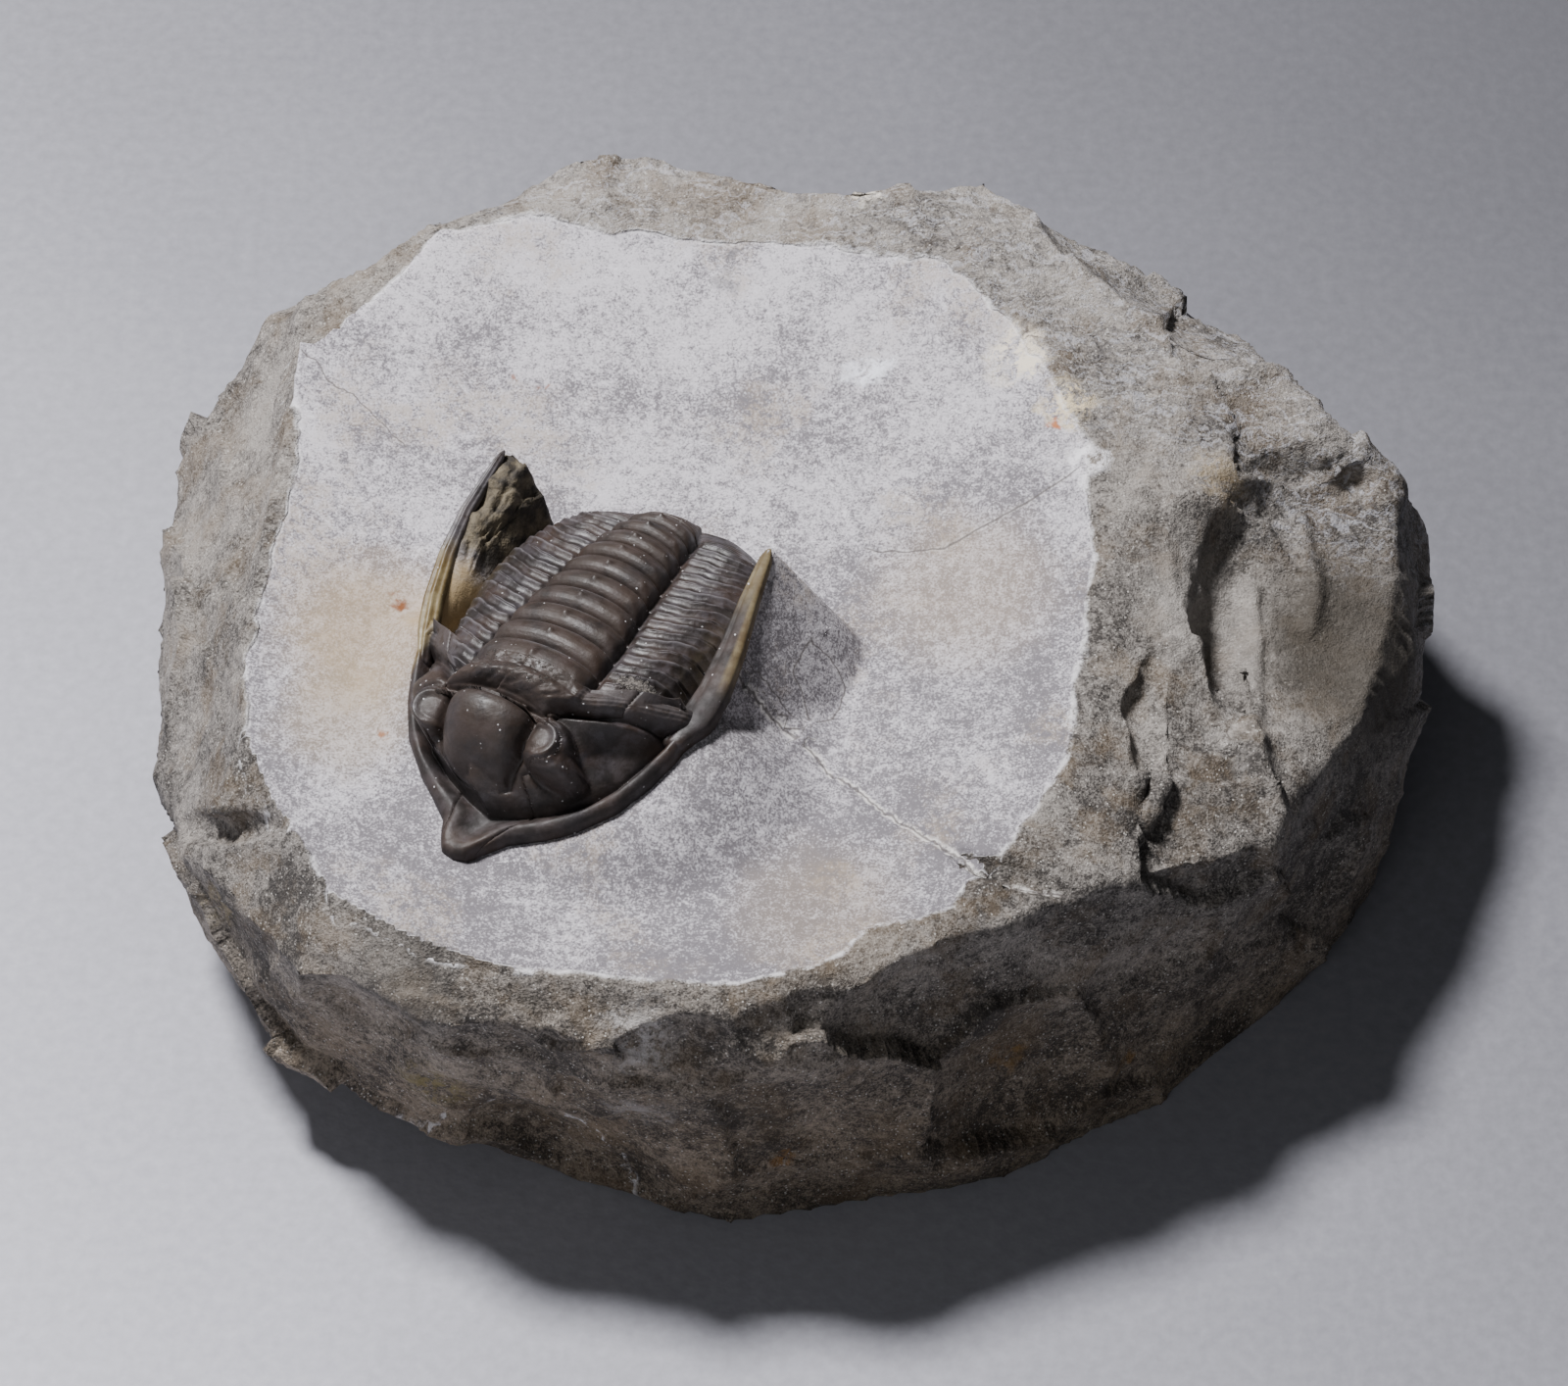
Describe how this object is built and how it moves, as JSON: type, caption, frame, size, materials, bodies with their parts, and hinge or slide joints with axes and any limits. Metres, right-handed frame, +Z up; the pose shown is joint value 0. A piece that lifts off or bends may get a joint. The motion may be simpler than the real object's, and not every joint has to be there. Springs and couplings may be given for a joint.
{
  "type": "fossil trilobite on matrix",
  "caption": "Prepared Cornuproetus-type trilobite with long cheek spines, standing in a shallow ground dish on a loose block of grey limestone.",
  "frame": {"origin": "on the flat underside of the block, below the middle of its bounding box", "axes": "+Z up from the underside, +X to the right and +Y away from the viewer of the picture, who looks along +Y and down; the nose of the fossil points to the near left"},
  "size_m": [0.106, 0.0846, 0.0418],
  "materials": {
    "limestone": "rough broken grey limestone, ground smoother in the dish round the fossil",
    "shell": "dark brown calcite shell with a soft polish"
  },
  "bodies": {
    "root": {"matrix_block": "limestone", "cranidium": "shell", "free_cheek_left": "shell", "free_cheek_right": "shell", "thoracic_segment_01": "shell", "thoracic_segment_02": "shell", "thoracic_segment_03": "shell", "thoracic_segment_04": "shell", "thoracic_segment_05": "shell", "thoracic_segment_06": "shell", "thoracic_segment_07": "shell", "thoracic_segment_08": "shell", "thoracic_segment_09": "shell", "thoracic_segment_10": "shell", "pygidium": "shell"}
  },
  "joints": []
}
